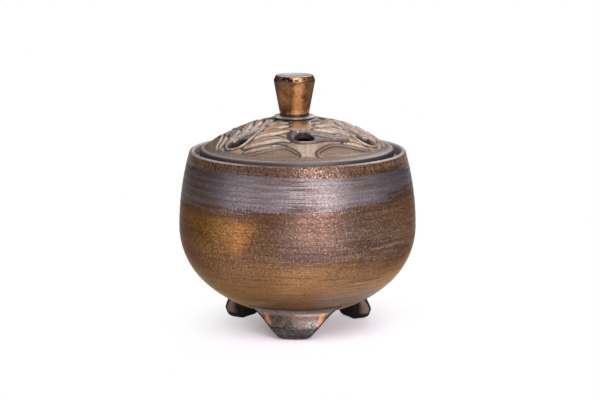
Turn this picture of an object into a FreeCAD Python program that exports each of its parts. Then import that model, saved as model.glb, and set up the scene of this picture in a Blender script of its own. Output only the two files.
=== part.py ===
import FreeCAD, Part
import math
import os

# A lidded incense burner: a thrown bowl on three feet cut from its foot ring, a pierced dome
# lid with a flared knob, and inside it a bed of ash with a flat coil of incense on top.
# Millimetres, +Z up. The origin is on the ground under the bowl's axis, and -Y is the front.

# Bowl: three arcs outside, drawn about the widest level, and a wall of even thickness
belly_radius = 50.0
belly_height = 43.0
shoulder_arc = 114.0
flank_arc = 31.8
flank_turn = 46.0
base_arc = 48.8
base_height = 8.0
bowl_wall = 4.0
floor_thickness = 4.2

# Lip and the ledge inside it that carries the lid
lip_radius = 1.15
lip_centre_height = 73.9
ledge_height = 71.6
ledge_wall_radius = 43.1
ledge_radius = 38.2
ledge_nose = 2.4
ledge_root_height = 65.2

# Feet: a ring section cut to three bell-shaped lobes
foot_turn = -2.5
foot_outer_low = 32.0
foot_outer_neck = 29.8
foot_inner = 24.8
foot_low_height = 3.8
foot_neck_height = 10.0
foot_outer_round = 2.6
foot_inner_round = 0.8
foot_flare = 31.6
foot_flare_height = 13.2
foot_top_inner = 12.3
foot_top_outer = 15.0
foot_flat_half = 3.2
foot_corner_arc = 5.5
foot_flank_angle = 47.0
foot_flank_run = 6.4
foot_arch_arc = 13.0
foot_arch_angle = 14.0
foot_arch_reach = 28.0

# Lid: part of a sphere that flattens into a brim
lid_shift = -0.3
lid_radius = 40.9
dome_radius = 64.0
dome_apex = 89.0
lid_wall = 3.5
brim_height = 75.9
brim_arc = 4.0
brim_edge = 0.6
seat_chamfer = 0.5
seat_inner_radius = 36.6
land_height = 88.35

# Smoke holes: two rings of three, bored square to the dome
hole_diameter = 8.0
hole_turn = 7.4
inner_hole_radius = 23.8
outer_hole_radius = 31.0
holes_per_ring = 3

# Knob and the collar of clay at its root
knob_shift = -1.0
knob_root_radius = 6.0
knob_rim_radius = 8.75
knob_rim_height = 104.4
knob_top_radius = 7.6
knob_top_height = 106.6
knob_dish = 0.5
collar_radius = 8.6
collar_height = 1.3
collar_round = 0.8
collar_gap = 0.05

# Ash and incense
ash_gap = 0.2
ash_level = 38.0
ash_flat_radius = 27.0
ash_rise = 1.6
coil_diameter = 2.8
coil_pitch = 5.4
coil_radius = 22.0
coil_half_turns = 8
gap_samples_per_half_turn = 60

UP = FreeCAD.Vector(0, 0, 1)
ORIGIN = FreeCAD.Vector(0, 0, 0)


def at(radius, height):
    """A point of a turned section, drawn in the XZ plane."""
    return FreeCAD.Vector(radius, 0, height)


def line(start, end):
    return Part.LineSegment(start, end).toShape()


def on_circle(centre, radius, degrees):
    angle = math.radians(degrees)
    return centre + FreeCAD.Vector(radius * math.cos(angle), 0, radius * math.sin(angle))


def arc(centre, radius, first, last):
    """Arc in the XZ plane; angles in degrees from +X towards +Z."""
    points = [on_circle(centre, radius, a) for a in (first, (first + last) / 2, last)]
    return Part.Arc(*points).toShape()


def end_of(edge):
    return edge.valueAt(edge.LastParameter)


def start_of(edge):
    return edge.valueAt(edge.FirstParameter)


def turned(edges):
    """Solid turned about Z from a closed section."""
    section = Part.Face(Part.Wire(edges))
    return section.revolve(ORIGIN, UP, 360)


def height_angle(centre, radius, height):
    """Angle at which a circle of the section reaches a height, on its outer side."""
    return math.degrees(math.asin((height - centre.z) / radius))


shoulder_centre = at(belly_radius - shoulder_arc, belly_height)
flank_centre = at(belly_radius - flank_arc, belly_height)
base_centre = on_circle(flank_centre, flank_arc - base_arc, -flank_turn)
dome_centre = at(0, dome_apex - dome_radius)


def lower_wall(inset, bottom):
    """The two arcs of the bowl below its widest level, moved in by inset, from the bottom up."""
    first = height_angle(base_centre, base_arc - inset, bottom)
    base = arc(base_centre, base_arc - inset, first, -flank_turn)
    flank = arc(flank_centre, flank_arc - inset, -flank_turn, 0)
    return base, flank


def make_bowl():
    base, flank = lower_wall(0, base_height)
    lip_angle = height_angle(shoulder_centre, shoulder_arc - lip_radius, lip_centre_height)
    shoulder = arc(shoulder_centre, shoulder_arc, 0, lip_angle)
    lip_centre = on_circle(shoulder_centre, shoulder_arc - lip_radius, lip_angle)
    lip = arc(lip_centre, lip_radius, lip_angle, 180)
    ledge_corner = at(ledge_wall_radius, ledge_height)
    ledge_edge = at(ledge_radius, ledge_height)
    nose_foot = at(ledge_radius, ledge_height - ledge_nose)
    inner_shoulder = shoulder_arc - bowl_wall
    root_angle = height_angle(shoulder_centre, inner_shoulder, ledge_root_height)
    inside = arc(shoulder_centre, inner_shoulder, root_angle, 0)
    floor_height = base_height + floor_thickness
    inner_base, inner_flank = lower_wall(bowl_wall, floor_height)
    return turned([
        line(at(0, base_height), start_of(base)),
        base,
        flank,
        shoulder,
        lip,
        line(end_of(lip), ledge_corner),
        line(ledge_corner, ledge_edge),
        line(ledge_edge, nose_foot),
        line(nose_foot, start_of(inside)),
        inside,
        inner_flank,
        inner_base,
        line(start_of(inner_base), at(0, floor_height)),
        line(at(0, floor_height), at(0, base_height)),
    ])


def foot_ring():
    """Whole turned foot ring, reaching up into the bowl's wall."""
    outer_round_centre = at(foot_outer_low - foot_outer_round, foot_outer_round)
    outer_round = arc(outer_round_centre, foot_outer_round, -90, 0)
    inner_round_centre = at(foot_inner + foot_inner_round, foot_inner_round)
    inner_round = arc(inner_round_centre, foot_inner_round, 180, 270)
    low = at(foot_outer_low, foot_low_height)
    neck = at(foot_outer_neck, foot_neck_height)
    flare = at(foot_flare, foot_flare_height)
    bend = at(foot_outer_neck, (foot_neck_height + foot_flare_height) / 2)
    top_outer = at(foot_flare, foot_top_outer)
    top_inner = at(foot_inner, foot_top_inner)
    return turned([
        line(end_of(inner_round), start_of(outer_round)),
        outer_round,
        line(end_of(outer_round), low),
        line(low, neck),
        Part.Arc(neck, bend, flare).toShape(),
        line(flare, top_outer),
        line(top_outer, top_inner),
        line(top_inner, start_of(inner_round)),
        inner_round,
    ])


def foot_outline_half():
    """Right half of a foot's bell outline, from the middle of its sole to the arch's end."""
    corner_centre = at(foot_flat_half, foot_corner_arc)
    corner = arc(corner_centre, foot_corner_arc, -90, foot_flank_angle - 90)
    slope = math.radians(foot_flank_angle)
    flank_end = end_of(corner) + at(foot_flank_run, foot_flank_run * math.tan(slope))
    arch_centre = on_circle(flank_end, foot_arch_arc, foot_flank_angle - 90)
    arch = arc(arch_centre, foot_arch_arc, foot_flank_angle + 90, foot_arch_angle + 90)
    run = foot_arch_reach - end_of(arch).x
    rise = run * math.tan(math.radians(foot_arch_angle))
    arch_end = end_of(arch) + at(run, rise)
    return [
        line(at(0, 0), start_of(corner)),
        corner,
        line(end_of(corner), flank_end),
        arch,
        line(end_of(arch), arch_end),
    ]


def make_foot(ring, bowl, degrees):
    right = foot_outline_half()
    left = [edge.mirror(ORIGIN, FreeCAD.Vector(1, 0, 0)) for edge in right]
    tip = end_of(right[-1])
    top_right = at(tip.x, tip.z + foot_top_outer)
    top_left = at(-tip.x, tip.z + foot_top_outer)
    top = [
        line(tip, top_right),
        line(top_right, top_left),
        line(top_left, at(-tip.x, tip.z)),
    ]
    outline = Part.Face(Part.Wire(Part.__sortEdges__(left + right + top)))
    prism = outline.extrude(FreeCAD.Vector(0, -2 * foot_outer_low, 0))
    lobe = ring.common(prism)
    lobe.rotate(ORIGIN, UP, degrees)
    return lobe.cut(bowl).Solids[0]


def lid_blank():
    dome_end_height = brim_height + brim_arc
    brim_centre_reach = math.sqrt((dome_radius + brim_arc) ** 2 - (dome_end_height - dome_centre.z) ** 2)
    brim_centre = at(brim_centre_reach, dome_end_height)
    dome_end = height_angle(dome_centre, dome_radius + brim_arc, dome_end_height)
    land_angle = height_angle(dome_centre, dome_radius, land_height)
    dome = arc(dome_centre, dome_radius, land_angle, dome_end)
    brim = arc(brim_centre, brim_arc, dome_end + 180, 270)
    edge_centre = at(lid_radius - brim_edge, brim_height - brim_edge)
    edge = arc(edge_centre, brim_edge, 90, 0)
    side_foot = at(lid_radius, ledge_height + seat_chamfer)
    seat_outer = at(lid_radius - seat_chamfer, ledge_height)
    seat_inner = at(seat_inner_radius, ledge_height)
    inner_dome = dome_radius - lid_wall
    inside_reach = seat_inner_radius - seat_chamfer
    inside_end = math.degrees(math.acos(inside_reach / inner_dome))
    inside = arc(dome_centre, inner_dome, inside_end, 90)
    return turned([
        line(at(0, land_height), start_of(dome)),
        dome,
        brim,
        line(end_of(brim), start_of(edge)),
        edge,
        line(end_of(edge), side_foot),
        line(side_foot, seat_outer),
        line(seat_outer, seat_inner),
        line(seat_inner, start_of(inside)),
        inside,
        line(end_of(inside), at(0, land_height)),
    ])


def leaning(tilt, degrees):
    """Direction that leans out from upright by tilt, in radians; 0 degrees is the front."""
    turn = math.radians(degrees)
    out = math.sin(tilt)
    return FreeCAD.Vector(out * math.sin(turn), -out * math.cos(turn), math.cos(tilt))


def smoke_hole(reach, degrees):
    """Bore through the dome at a distance from its axis."""
    along = leaning(math.asin(reach / dome_radius), degrees)
    start = dome_centre + along * (dome_radius - 2 * lid_wall)
    return Part.makeCylinder(hole_diameter / 2, 3 * lid_wall, start, along)


def make_lid():
    lid = lid_blank()
    step = 360 / holes_per_ring
    for index in range(holes_per_ring):
        lid = lid.cut(smoke_hole(inner_hole_radius, hole_turn + index * step))
        lid = lid.cut(smoke_hole(outer_hole_radius, hole_turn + (index + 0.5) * step))
    lid.translate(at(lid_shift, 0))
    return lid


def make_collar():
    bore = knob_root_radius + collar_gap
    round_centre = at(collar_radius - collar_round, land_height + collar_height - collar_round)
    shoulder = arc(round_centre, collar_round, 0, 90)
    collar = turned([
        line(at(bore, land_height), at(collar_radius, land_height)),
        line(at(collar_radius, land_height), start_of(shoulder)),
        shoulder,
        line(end_of(shoulder), at(bore, land_height + collar_height)),
        line(at(bore, land_height + collar_height), at(bore, land_height)),
    ])
    collar.translate(at(lid_shift + knob_shift, 0))
    return collar


def make_knob():
    """Solid knob: a short straight root in the collar, a straight flare, a bevel, a dished top."""
    root = at(knob_root_radius, land_height)
    neck = at(knob_root_radius, land_height + collar_height)
    rim = at(knob_rim_radius, knob_rim_height)
    top = at(knob_top_radius, knob_top_height)
    middle = at(0, knob_top_height - knob_dish)
    dish_arc = (knob_top_radius ** 2 + knob_dish ** 2) / (2 * knob_dish)
    dish_centre = middle + UP * dish_arc
    dish_edge = -math.degrees(math.acos(knob_top_radius / dish_arc))
    knob = turned([
        line(at(0, land_height), root),
        line(root, neck),
        line(neck, rim),
        line(rim, top),
        arc(dish_centre, dish_arc, dish_edge, -90),
        line(middle, at(0, land_height)),
    ])
    knob.translate(at(lid_shift + knob_shift, 0))
    return knob


def make_ash():
    """Ash filling the bottom of the bowl: flat where the incense lies, heaped up at the wall."""
    floor_height = base_height + floor_thickness
    base, flank = lower_wall(bowl_wall + ash_gap, floor_height)
    rim_angle = height_angle(flank_centre, flank_arc - bowl_wall - ash_gap, ash_level + ash_rise)
    flank = arc(flank_centre, flank_arc - bowl_wall - ash_gap, -flank_turn, rim_angle)
    return turned([
        line(at(0, floor_height), start_of(base)),
        base,
        flank,
        line(end_of(flank), at(ash_flat_radius, ash_level)),
        line(at(ash_flat_radius, ash_level), at(0, ash_level)),
        line(at(0, ash_level), at(0, floor_height)),
    ])


def coil_half_turn(index):
    """Centre, radius and first angle of one half turn; each is tangent to the next."""
    step = coil_pitch / 2
    centre = FreeCAD.Vector(-step * (index % 2), 0, ash_level + coil_diameter / 2)
    return centre, coil_radius - step * index, 180.0 * (index % 2)


def coil_point(index, degrees):
    centre, radius, first = coil_half_turn(index)
    angle = math.radians(first + degrees)
    return centre + FreeCAD.Vector(radius * math.cos(angle), radius * math.sin(angle), 0)


def coil_least_gap():
    """Least clear space between one turn of the coil and the next, measured on points."""
    count = gap_samples_per_half_turn
    points = [
        coil_point(index, 180.0 * sample / count)
        for index in range(coil_half_turns)
        for sample in range(count)
    ]
    apart = count
    nearest = min(
        points[i].distanceToPoint(points[j])
        for i in range(len(points))
        for j in range(i + apart, len(points))
    )
    return nearest - coil_diameter


def make_coil():
    path = Part.Wire([
        Part.Arc(*[coil_point(index, degrees) for degrees in (0, 90, 180)]).toShape()
        for index in range(coil_half_turns)
    ])
    section = Part.Wire(Part.makeCircle(
        coil_diameter / 2, coil_point(0, 0), FreeCAD.Vector(0, 1, 0)))
    return path.makePipeShell([section], True, False)


def main():
    bowl = make_bowl()
    ring = foot_ring()
    nodes = {
        "bowl": bowl,
        "foot_front": make_foot(ring, bowl, foot_turn),
        "foot_rear_right": make_foot(ring, bowl, foot_turn + 120),
        "foot_rear_left": make_foot(ring, bowl, foot_turn - 120),
        "lid": make_lid(),
        "knob_collar": make_collar(),
        "knob": make_knob(),
        "ash_bed": make_ash(),
        "incense_coil": make_coil(),
    }
    os.makedirs("parts", exist_ok=True)
    for name, solid in nodes.items():
        solid.exportStep(f"parts/{name}.step")
    print(f"least gap between the coil's turns: {coil_least_gap():.2f} mm")


main()
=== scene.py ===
import math

import bmesh
import bpy
import numpy as np
from mathutils import Matrix, Vector, noise


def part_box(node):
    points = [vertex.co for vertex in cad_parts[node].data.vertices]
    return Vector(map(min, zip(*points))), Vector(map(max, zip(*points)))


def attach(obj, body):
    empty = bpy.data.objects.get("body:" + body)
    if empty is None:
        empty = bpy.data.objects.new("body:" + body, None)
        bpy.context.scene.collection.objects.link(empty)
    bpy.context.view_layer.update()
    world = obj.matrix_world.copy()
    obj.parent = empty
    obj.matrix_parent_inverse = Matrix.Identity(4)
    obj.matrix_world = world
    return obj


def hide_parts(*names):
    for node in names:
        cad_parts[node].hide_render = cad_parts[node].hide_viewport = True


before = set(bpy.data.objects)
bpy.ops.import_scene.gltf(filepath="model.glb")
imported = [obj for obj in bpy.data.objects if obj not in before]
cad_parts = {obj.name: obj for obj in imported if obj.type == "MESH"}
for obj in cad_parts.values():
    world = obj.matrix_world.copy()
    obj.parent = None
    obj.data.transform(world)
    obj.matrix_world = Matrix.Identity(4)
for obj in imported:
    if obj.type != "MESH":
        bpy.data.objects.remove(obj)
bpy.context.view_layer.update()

# Lidded stoneware incense burner. Sizes are in millimetres and turned to metres by MM.
# The front is -Y; angles round the pot are degrees from the front, growing towards +X.
MM = 0.001
bowl_low, bowl_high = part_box("bowl")
lid_low, lid_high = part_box("lid")
knob_low, knob_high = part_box("knob")
collar_low, collar_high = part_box("knob_collar")
ash_low, ash_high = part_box("ash_bed")
coil_low, coil_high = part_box("incense_coil")

# Bowl
BELLY_RADIUS = bowl_high.x / MM
BELLY_HEIGHT = 43.0
BASE_HEIGHT = bowl_low.z / MM
SHOULDER_ARC = 114.0
FLANK_ARC = 31.8
FLANK_TURN = 46.0
BASE_ARC = 48.8
BOWL_WALL = 4.0
BOWL_FLOOR = ash_low.z / MM
LIP_RADIUS = 1.15
LIP_CENTRE_HEIGHT = bowl_high.z / MM - LIP_RADIUS
LEDGE_HEIGHT = lid_low.z / MM
LEDGE_WALL_RADIUS = 43.1
LEDGE_RADIUS = 38.2
LEDGE_NOSE = 2.4
LEDGE_ROOT_HEIGHT = 65.2
THROWING_RING = 3.1
THROWING_DEPTH = 0.05
HAND_WOBBLE = 0.08
WOBBLE_SIZE = 24.0
TRUE_RADIUS = 20.0  # nothing nearer the axis than this wobbles
INWARD_LEAN = 0.02  # faces that look inwards by more than this are the inside's
UPWARD = 0.7  # and so are faces below the lip that look up by more than this

# Feet
FOOT_TURN = -2.5
FOOT_OUTER_LOW = 32.0
FOOT_OUTER_NECK = 29.8
FOOT_INNER = 24.8
FOOT_LOW_HEIGHT = 5.2
FOOT_NECK_HEIGHT = 10.0
FOOT_OUTER_ROUND = 2.6
FOOT_INNER_ROUND = 0.8
FOOT_NECK_ARC = 2.45
FOOT_NECK_ARC_CENTRE = (32.12, 10.8)
FOOT_FLAT_HALF = 3.2
FOOT_CORNER_ARC = 5.5
FOOT_FLANK_ANGLE = math.radians(47.0)
FOOT_FLANK_RUN = 4.4
FOOT_ARCH_ARC = 33.0
FOOT_ARCH_ANGLE = math.radians(28.0)
FOOT_EDGE_ROUND = 0.9
FOOT_SINK = 0.5
FOOT_CUTS = 39
FOOT_CROWDING = 1.25  # crowds the grid's rows towards the sole

# Lid
LID_X = (lid_low.x + lid_high.x) / 2 / MM
LID_RADIUS = (lid_high.x - lid_low.x) / 2 / MM
DOME_RADIUS = 64.0
DOME_APEX = 89.0
DOME_CENTRE_HEIGHT = DOME_APEX - DOME_RADIUS
LID_WALL = 3.5
LAND_HEIGHT = lid_high.z / MM
BRIM_HEIGHT = 75.9
BRIM_ARC = 4.0
BRIM_EDGE = 0.6
SEAT_CHAMFER = 0.5
SEAT_INNER_RADIUS = 36.6
HOLE_RADIUS = 4.0
HOLE_ROUND = 0.9
HOLE_TURN = 7.4
INNER_HOLE_REACH = 23.8
OUTER_HOLE_REACH = 31.0
SECTORS = 3
SECTOR_TURN = 360.0 / SECTORS
BEAD_REACH = 39.7
BEAD_HALF = 0.6
BEAD_HEIGHT = 0.25
CARVING_FADE = (35.8, 37.4)
CARVING_END = 38.2
SKIN_DEPTH = 0.3
CARVING_STEPS = 640

# Knob, collar
KNOB_X = (knob_low.x + knob_high.x) / 2 / MM
KNOB_RIM_RADIUS = (knob_high.x - knob_low.x) / 2 / MM
KNOB_ROOT_RADIUS = 6.0
KNOB_RIM_HEIGHT = 104.4
KNOB_TOP_RADIUS = 7.8
KNOB_TOP = knob_high.z / MM
KNOB_DISH = 0.5
KNOB_ARRIS = 0.25
ARRIS_REACH = 5.0  # both arrises are further than this from the knob's axis
ARRIS_NEAR = 0.02
COLLAR_X = (collar_low.x + collar_high.x) / 2 / MM
COLLAR_RADIUS = (collar_high.x - collar_low.x) / 2 / MM
COLLAR_TOP = collar_high.z / MM
COLLAR_BORE = KNOB_ROOT_RADIUS + 0.05

# Ash and incense
ASH_GAP = 0.2
ASH_LEVEL = coil_low.z / MM
ASH_RIM = ash_high.z / MM
ASH_FLAT_RADIUS = 27.0
ASH_SINK = 0.22
ASH_EDGE = 0.5
CRUMB_SIZE = 2.2
CRUMB_HEIGHT = 0.16
CRUMB_OCTAVES = (0.8, 2.0, 3)  # fading, fineness and number of the crumbs' octaves
DUNE_SIZE = 13.0
DUNE_HEIGHT = 0.25
COIL_DIAMETER = (coil_high.z - coil_low.z) / MM
COIL_SLIMMING = 0.98  # leaves room for the rough skin
COIL_SIDES = 16
COIL_PITCH = 5.4
COIL_RADIUS = 22.0
COIL_HALF_TURNS = 8
COIL_OUTER_STEPS = 48
COIL_INNER_STEPS = 12
PASTE_GRAIN = 1.5
PASTE_ROUGHNESS = 0.03

# Camera, from the photograph's frame of 600 by 400; it and the lamps look at one point on the axis
IMAGE_WIDTH = 600
SENSOR_WIDTH = 36
CAMERA_ELEVATION = 10.4
CAMERA_LENS = 142.0
TARGET_HEIGHT = 50.0
TARGET_LEFT_PX = 2.5
TARGET_BELOW_PX = 7.9

# Studio, in metres
CAMERA_DISTANCE = 1.0
GROUND_RADIUS = 4.0
WALL_DISTANCE = 2.5
WALL_HEIGHT = 1.6
WALL_STEPS = 60
WORLD_LIGHT = 0.25

# Softboxes: name, degrees round and up, distance, width, height, watts, tint
SOFTBOXES = [
    ("front_softbox", 20, 12, 1.3, 0.95, 0.5, 20.0, "#fffaf7"),
    ("left_softbox", -62, 2, 0.9, 0.2, 0.2, 1.0, "#ffffff"),
    ("top_softbox", 15, 54, 1.25, 0.9, 0.8, 9.0, "#ffffff"),
    ("back_softbox", 168, 35, 1.2, 0.5, 0.5, 3.0, "#ffffff"),
]

SHARP_ANGLE = math.radians(50.0)
WELD = 0.001 * MM
UPRIGHT = {"axis": (0, 0, 1), "dvec": (0, 0, 0), "use_duplicate": False}


# Small tools for shapes

def arc(centre, radius, first, last, steps):
    """Points of an arc in a turned section, as (radius, height); degrees from level, upwards."""
    turn = [math.radians(first + (last - first) * i / steps) for i in range(steps + 1)]
    return [(centre[0] + radius * math.cos(a), centre[1] + radius * math.sin(a)) for a in turn]


def joined(*stretches):
    """A section's points, from arcs, which are lists of points, and straight stretches, each the point
    that it runs to and a number of steps."""
    section = []
    for stretch in stretches:
        if isinstance(stretch, list):
            section += stretch[1:] if section else stretch
            continue
        (end_r, end_z), steps = stretch
        r, z = section[-1]
        section += [(r + (end_r - r) * i / steps, z + (end_z - z) * i / steps) for i in range(1, steps + 1)]
    return section


def level_angle(centre, radius, height):
    """Degrees from level at which an arc passes a height."""
    return math.degrees(math.asin((height - centre[1]) / radius))


def turned(section, steps, axis_x=0.0):
    """A bmesh turned about an upright axis from a section of (radius, height) points.
    An eighth of the turn is spun and then doubled three times, so steps is a multiple of 8."""
    bm = bmesh.new()
    verts = [bm.verts.new((r * MM, 0, z * MM)) for r, z in section]
    edges = [bm.edges.new(pair) for pair in zip(verts, verts[1:])]
    bmesh.ops.spin(bm, geom=verts + edges, cent=(0, 0, 0), angle=math.pi / 4, steps=steps // 8,
                   use_merge=False, **UPRIGHT)
    for turn in (math.pi / 4, math.pi / 2, math.pi):
        copy = bmesh.ops.duplicate(bm, geom=bm.verts[:] + bm.edges[:] + bm.faces[:])["geom"]
        corners = [part for part in copy if isinstance(part, bmesh.types.BMVert)]
        bmesh.ops.rotate(bm, verts=corners, cent=(0, 0, 0), matrix=Matrix.Rotation(turn, 3, "Z"))
    bmesh.ops.remove_doubles(bm, verts=bm.verts, dist=WELD)
    bmesh.ops.recalc_face_normals(bm, faces=bm.faces)
    bmesh.ops.translate(bm, verts=bm.verts, vec=(axis_x * MM, 0, 0))
    return bm


def as_object(bm, name, materials):
    """Turns a bmesh into an object that sits at the origin."""
    mesh = bpy.data.meshes.new(name)
    bm.to_mesh(mesh)
    bm.free()
    for material in materials:
        mesh.materials.append(material)
    thing = bpy.data.objects.new(name, mesh)
    bpy.context.scene.collection.objects.link(thing)
    return thing


def finished(bm, name, body, node, materials):
    """Turns a bmesh into a smooth-shaded piece that stands for a node and rides on its body."""
    for face in bm.faces:
        face.smooth = True
    piece = as_object(bm, name, materials)
    piece.data.set_sharp_from_angle(angle=SHARP_ANGLE)
    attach(piece, body)
    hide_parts(node)
    return piece


def smooth_step(value, low, high):
    """Nought below low, one above high, and an even curve between them."""
    t = np.clip((value - low) / (high - low), 0, 1)
    return t * t * (3 - 2 * t)


# Small tools for materials. Those that are given no tree work in the one that their values come from.

MIX_A = 6
MIX_B = 7
MIX_OUT = 2
TEX = "ShaderNodeTexNoise"
MATH = "ShaderNodeMath"
MAPPING = "ShaderNodeMapping"
VECTOR = "ShaderNodeVectorMath"
BUMP = "ShaderNodeBump"
RANGE = "ShaderNodeMapRange"
MIX = "ShaderNodeMix"
BLEND = {"data_type": "RGBA", "out": MIX_OUT}
SOFT = {"interpolation_type": "SMOOTHSTEP"}
TIMES = {"operation": "MULTIPLY"}
TIMES_PLUS = {"operation": "MULTIPLY_ADD"}
LARGER = {"operation": "MAXIMUM"}
LENGTH = {"operation": "LENGTH", "out": "Value"}


def colour(hex_value):
    """sRGB hex to linear RGBA."""
    parts = [int(hex_value[i:i + 2], 16) / 255 for i in (1, 3, 5)]
    linear = [c / 12.92 if c <= 0.04045 else ((c + 0.055) / 1.055) ** 2.4 for c in parts]
    return (*linear, 1.0)


def add(tree, kind, inputs, out=0, **settings):
    """Adds a node with its settings and its inputs, values or links, and gives one output."""
    node = tree.nodes.new(kind)
    for key, value in settings.items():
        setattr(node, key, value)
    for key, value in inputs.items():
        if isinstance(value, bpy.types.NodeSocket):
            tree.links.new(value, node.inputs[key])
        else:
            node.inputs[key].default_value = value
    return node.outputs[out] if node.outputs else None


def surface(name):
    """A new material, its tree, the place on the piece in millimetres, and that place's x, y and z."""
    material = bpy.data.materials.new(name)
    material.use_nodes = True
    tree = material.node_tree
    tree.nodes.clear()
    metres = add(tree, "ShaderNodeTexCoord", {}, out="Object")
    place = add(tree, VECTOR, {0: metres, 1: (1 / MM, 1 / MM, 1 / MM)}, **TIMES)
    return material, tree, place, add(tree, "ShaderNodeSeparateXYZ", {0: place}).node.outputs


def fired(material, skin, sockets, height=None, strength=0.0, depth=0.0):
    """Ends a material with its shader and, where a height is given, a relief of a depth in millimetres."""
    tree = material.node_tree
    sockets = {"Base Color": skin, **sockets}
    if height is not None:
        sockets["Normal"] = add(tree, BUMP, {"Strength": strength, "Distance": depth * MM, "Height": height})
    shader = add(tree, "ShaderNodeBsdfPrincipled", sockets)
    add(tree, "ShaderNodeOutputMaterial", {"Surface": shader})
    return material


def brush_marks(place, size, detail, roughness, squeeze, start=(0, 0, 0)):
    """Marks of a brush or of runny glaze: a noise with marks of a size in millimetres that a mapping
    squeezes along some axes; start picks other marks."""
    tree = place.id_data
    squeezed = add(tree, MAPPING, {"Vector": place, "Scale": squeeze, "Location": start})
    return add(tree, TEX, {"Vector": squeezed, "Scale": 1 / size, "Detail": detail, "Roughness": roughness})


def patch(amount, *edges):
    """A patch with several soft edges, each a value with where the patch starts and where it is whole."""
    for value, start, whole in edges:
        amount = add(value.id_data, RANGE, {0: value, 1: start, 2: whole, 4: amount}, **SOFT)
    return amount


def off(value, middle):
    """How far a value is from a middle one, to either side."""
    tree = value.id_data
    away = add(tree, MATH, {0: value, 1: middle}, operation="SUBTRACT")
    return add(tree, MATH, {0: away}, operation="ABSOLUTE")


def shaken(value, marks, size):
    """A value that a noise moves up and down, by half of size at most."""
    tree = marks.id_data
    swing = add(tree, MATH, {0: marks, 1: 0.5}, operation="SUBTRACT")
    return add(tree, MATH, {0: swing, 1: size, 2: value}, **TIMES_PLUS)


# Clouds in the bowl's metal: where each starts and is whole from side to side, its two edges in
# height (also start and whole), strength and colour. The edges wander with the clouds by CLOUD_SIDEWAYS
# and CLOUD_HEIGHT, so on average they show half of that further left or lower than written.
CLOUD_SIDEWAYS = 18
CLOUD_HEIGHT = 16
METAL_CLOUDS = [
    ((40, 26), (60, 54), (42, 48), 0.4, "#54403a"),
    ((-27, 4), (48, 38), (2, 10), 0.75, "#a87c50"),
    ((8, -8), (72, 64), (10, 20), 0.65, "#6b4c2f"),
    ((26, 44), (74, 66), (10, 20), 0.75, "#6b5340"),
    # darker olive-brown towards the left flank: partly glaze colour, partly painted shade of the flank
    ((-20, -38), (74, 66), (10, 20), 0.8, "#503c1c"),
    # the next two rows are an orange bloom and its bright core: partly glaze colour, partly a painted
    # reflection of the left lamp
    ((-7, -15), (64, 58), (46, 54), 0.7, "#9d6a3c"),
    ((-10, -14), (62, 57), (43, 50), 0.3, "#b97f4e"),
    ((-13, -20), (64, 59), (42, 48), 0.6, "#6e4f2c"),
    ((-20, -34), (62, 57), (44, 52), 0.9, "#5a4400"),
    ((60, 30), (76, 79), (60, 70), 0.7, "#7d6150"),
    # the next two rows make the copper under the lip lighter at both sides: painted light where the lamps
    # don't reach
    ((26, 44), (76, 79), (60, 70), 0.8, "#ad8a66"),
    ((-14, -30), (76, 79), (60, 70), 0.8, "#a57f58"),
    ((18, 28), (40, 36), (20, 24), 0.4, "#a08468"),
    ((24, 34), (52, 49), (40, 43), 0.7, "#46342a"),
    ((14, 24), (32, 28), (21, 24), 0.8, "#8f827c"),
    # paler pinkish-brown low on the belly: painted light on the bottom, against its shade
    ((60, 30), (28, 22), (2, 6), 0.5, "#a88570"),
    ((16, 26), (46, 42), (33, 37), 0.5, "#5f4330"),
    ((-14, -24), (56, 52), (32, 38), 0.4, "#4f3a26"),
]

# Grey wisps on the bowl, in the same way but with straight edges, and strength
WISPS = [
    ((2, 22), (52, 47), (33, 38), 0.5),
    ((-20, -4), (43, 40), (35, 38), 0.4),
    ((-4, 10), (22, 20), (14, 16), 0.5),
]

# Light and shade along the slip band: where it starts and is whole, strength, colour
SLIP_SHADES = [
    ((2, -10), 0.5, "#8d8389"),
    ((28, 46), 0.7, "#463f46"),
    ((-17, -36), 0.75, "#463d42"),
]


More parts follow.
